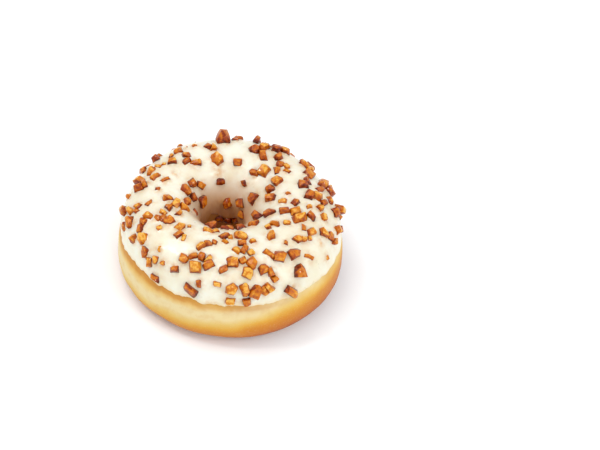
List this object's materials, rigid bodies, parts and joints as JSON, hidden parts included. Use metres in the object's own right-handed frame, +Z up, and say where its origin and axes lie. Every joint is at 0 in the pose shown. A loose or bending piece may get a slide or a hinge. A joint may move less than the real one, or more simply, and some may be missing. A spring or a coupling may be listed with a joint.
{
  "type": "ring doughnut",
  "caption": "Round ring doughnut with a filled dough ring, a smooth poured glaze over its top and brittle crumbs on the glaze, resting on its flat underside.",
  "frame": {"origin": "middle of the outline on the surface that the doughnut rests on", "axes": "+Z up through the hole; +Y towards the back, where the tall upright crumb is"},
  "size_m": [0.0914, 0.093, 0.0405],
  "materials": {
    "dough": "satin",
    "filling": "gloss",
    "glaze": "gloss",
    "caramel_brittle": "gloss"
  },
  "bodies": {
    "root": {"dough": "dough", "filling": "filling", "glaze": "glaze", "caramel_crumb_01": "caramel_brittle", "caramel_crumb_02": "caramel_brittle", "caramel_crumb_03": "caramel_brittle", "caramel_crumb_04": "caramel_brittle", "caramel_crumb_05": "caramel_brittle", "caramel_crumb_06": "caramel_brittle", "caramel_crumb_07": "caramel_brittle", "caramel_crumb_08": "caramel_brittle", "caramel_crumb_09": "caramel_brittle", "caramel_crumb_10": "caramel_brittle", "caramel_crumb_11": "caramel_brittle", "caramel_crumb_12": "caramel_brittle", "caramel_crumb_13": "caramel_brittle", "caramel_crumb_14": "caramel_brittle", "caramel_crumb_15": "caramel_brittle", "caramel_crumb_16": "caramel_brittle", "caramel_crumb_17": "caramel_brittle", "caramel_crumb_18": "caramel_brittle", "caramel_crumb_19": "caramel_brittle", "caramel_crumb_20": "caramel_brittle", "caramel_crumb_21": "caramel_brittle", "caramel_crumb_22": "caramel_brittle", "caramel_crumb_23": "caramel_brittle", "caramel_crumb_24": "caramel_brittle", "caramel_crumb_25": "caramel_brittle", "caramel_crumb_26": "caramel_brittle", "caramel_crumb_27": "caramel_brittle", "caramel_crumb_28": "caramel_brittle", "caramel_crumb_29": "caramel_brittle", "caramel_crumb_30": "caramel_brittle", "caramel_crumb_31": "caramel_brittle", "caramel_crumb_32": "caramel_brittle", "caramel_crumb_33": "caramel_brittle", "caramel_crumb_34": "caramel_brittle", "caramel_crumb_35": "caramel_brittle", "caramel_crumb_36": "caramel_brittle", "caramel_crumb_37": "caramel_brittle", "caramel_crumb_38": "caramel_brittle", "caramel_crumb_39": "caramel_brittle", "caramel_crumb_40": "caramel_brittle", "caramel_crumb_41": "caramel_brittle", "caramel_crumb_42": "caramel_brittle", "caramel_crumb_43": "caramel_brittle", "caramel_crumb_44": "caramel_brittle", "caramel_crumb_45": "caramel_brittle", "caramel_crumb_46": "caramel_brittle", "caramel_crumb_47": "caramel_brittle", "caramel_crumb_48": "caramel_brittle", "caramel_crumb_49": "caramel_brittle", "caramel_crumb_50": "caramel_brittle", "caramel_crumb_51": "caramel_brittle", "caramel_crumb_52": "caramel_brittle", "caramel_crumb_53": "caramel_brittle", "caramel_crumb_54": "caramel_brittle", "caramel_crumb_55": "caramel_brittle", "caramel_crumb_56": "caramel_brittle", "caramel_crumb_57": "caramel_brittle"}
  },
  "joints": []
}
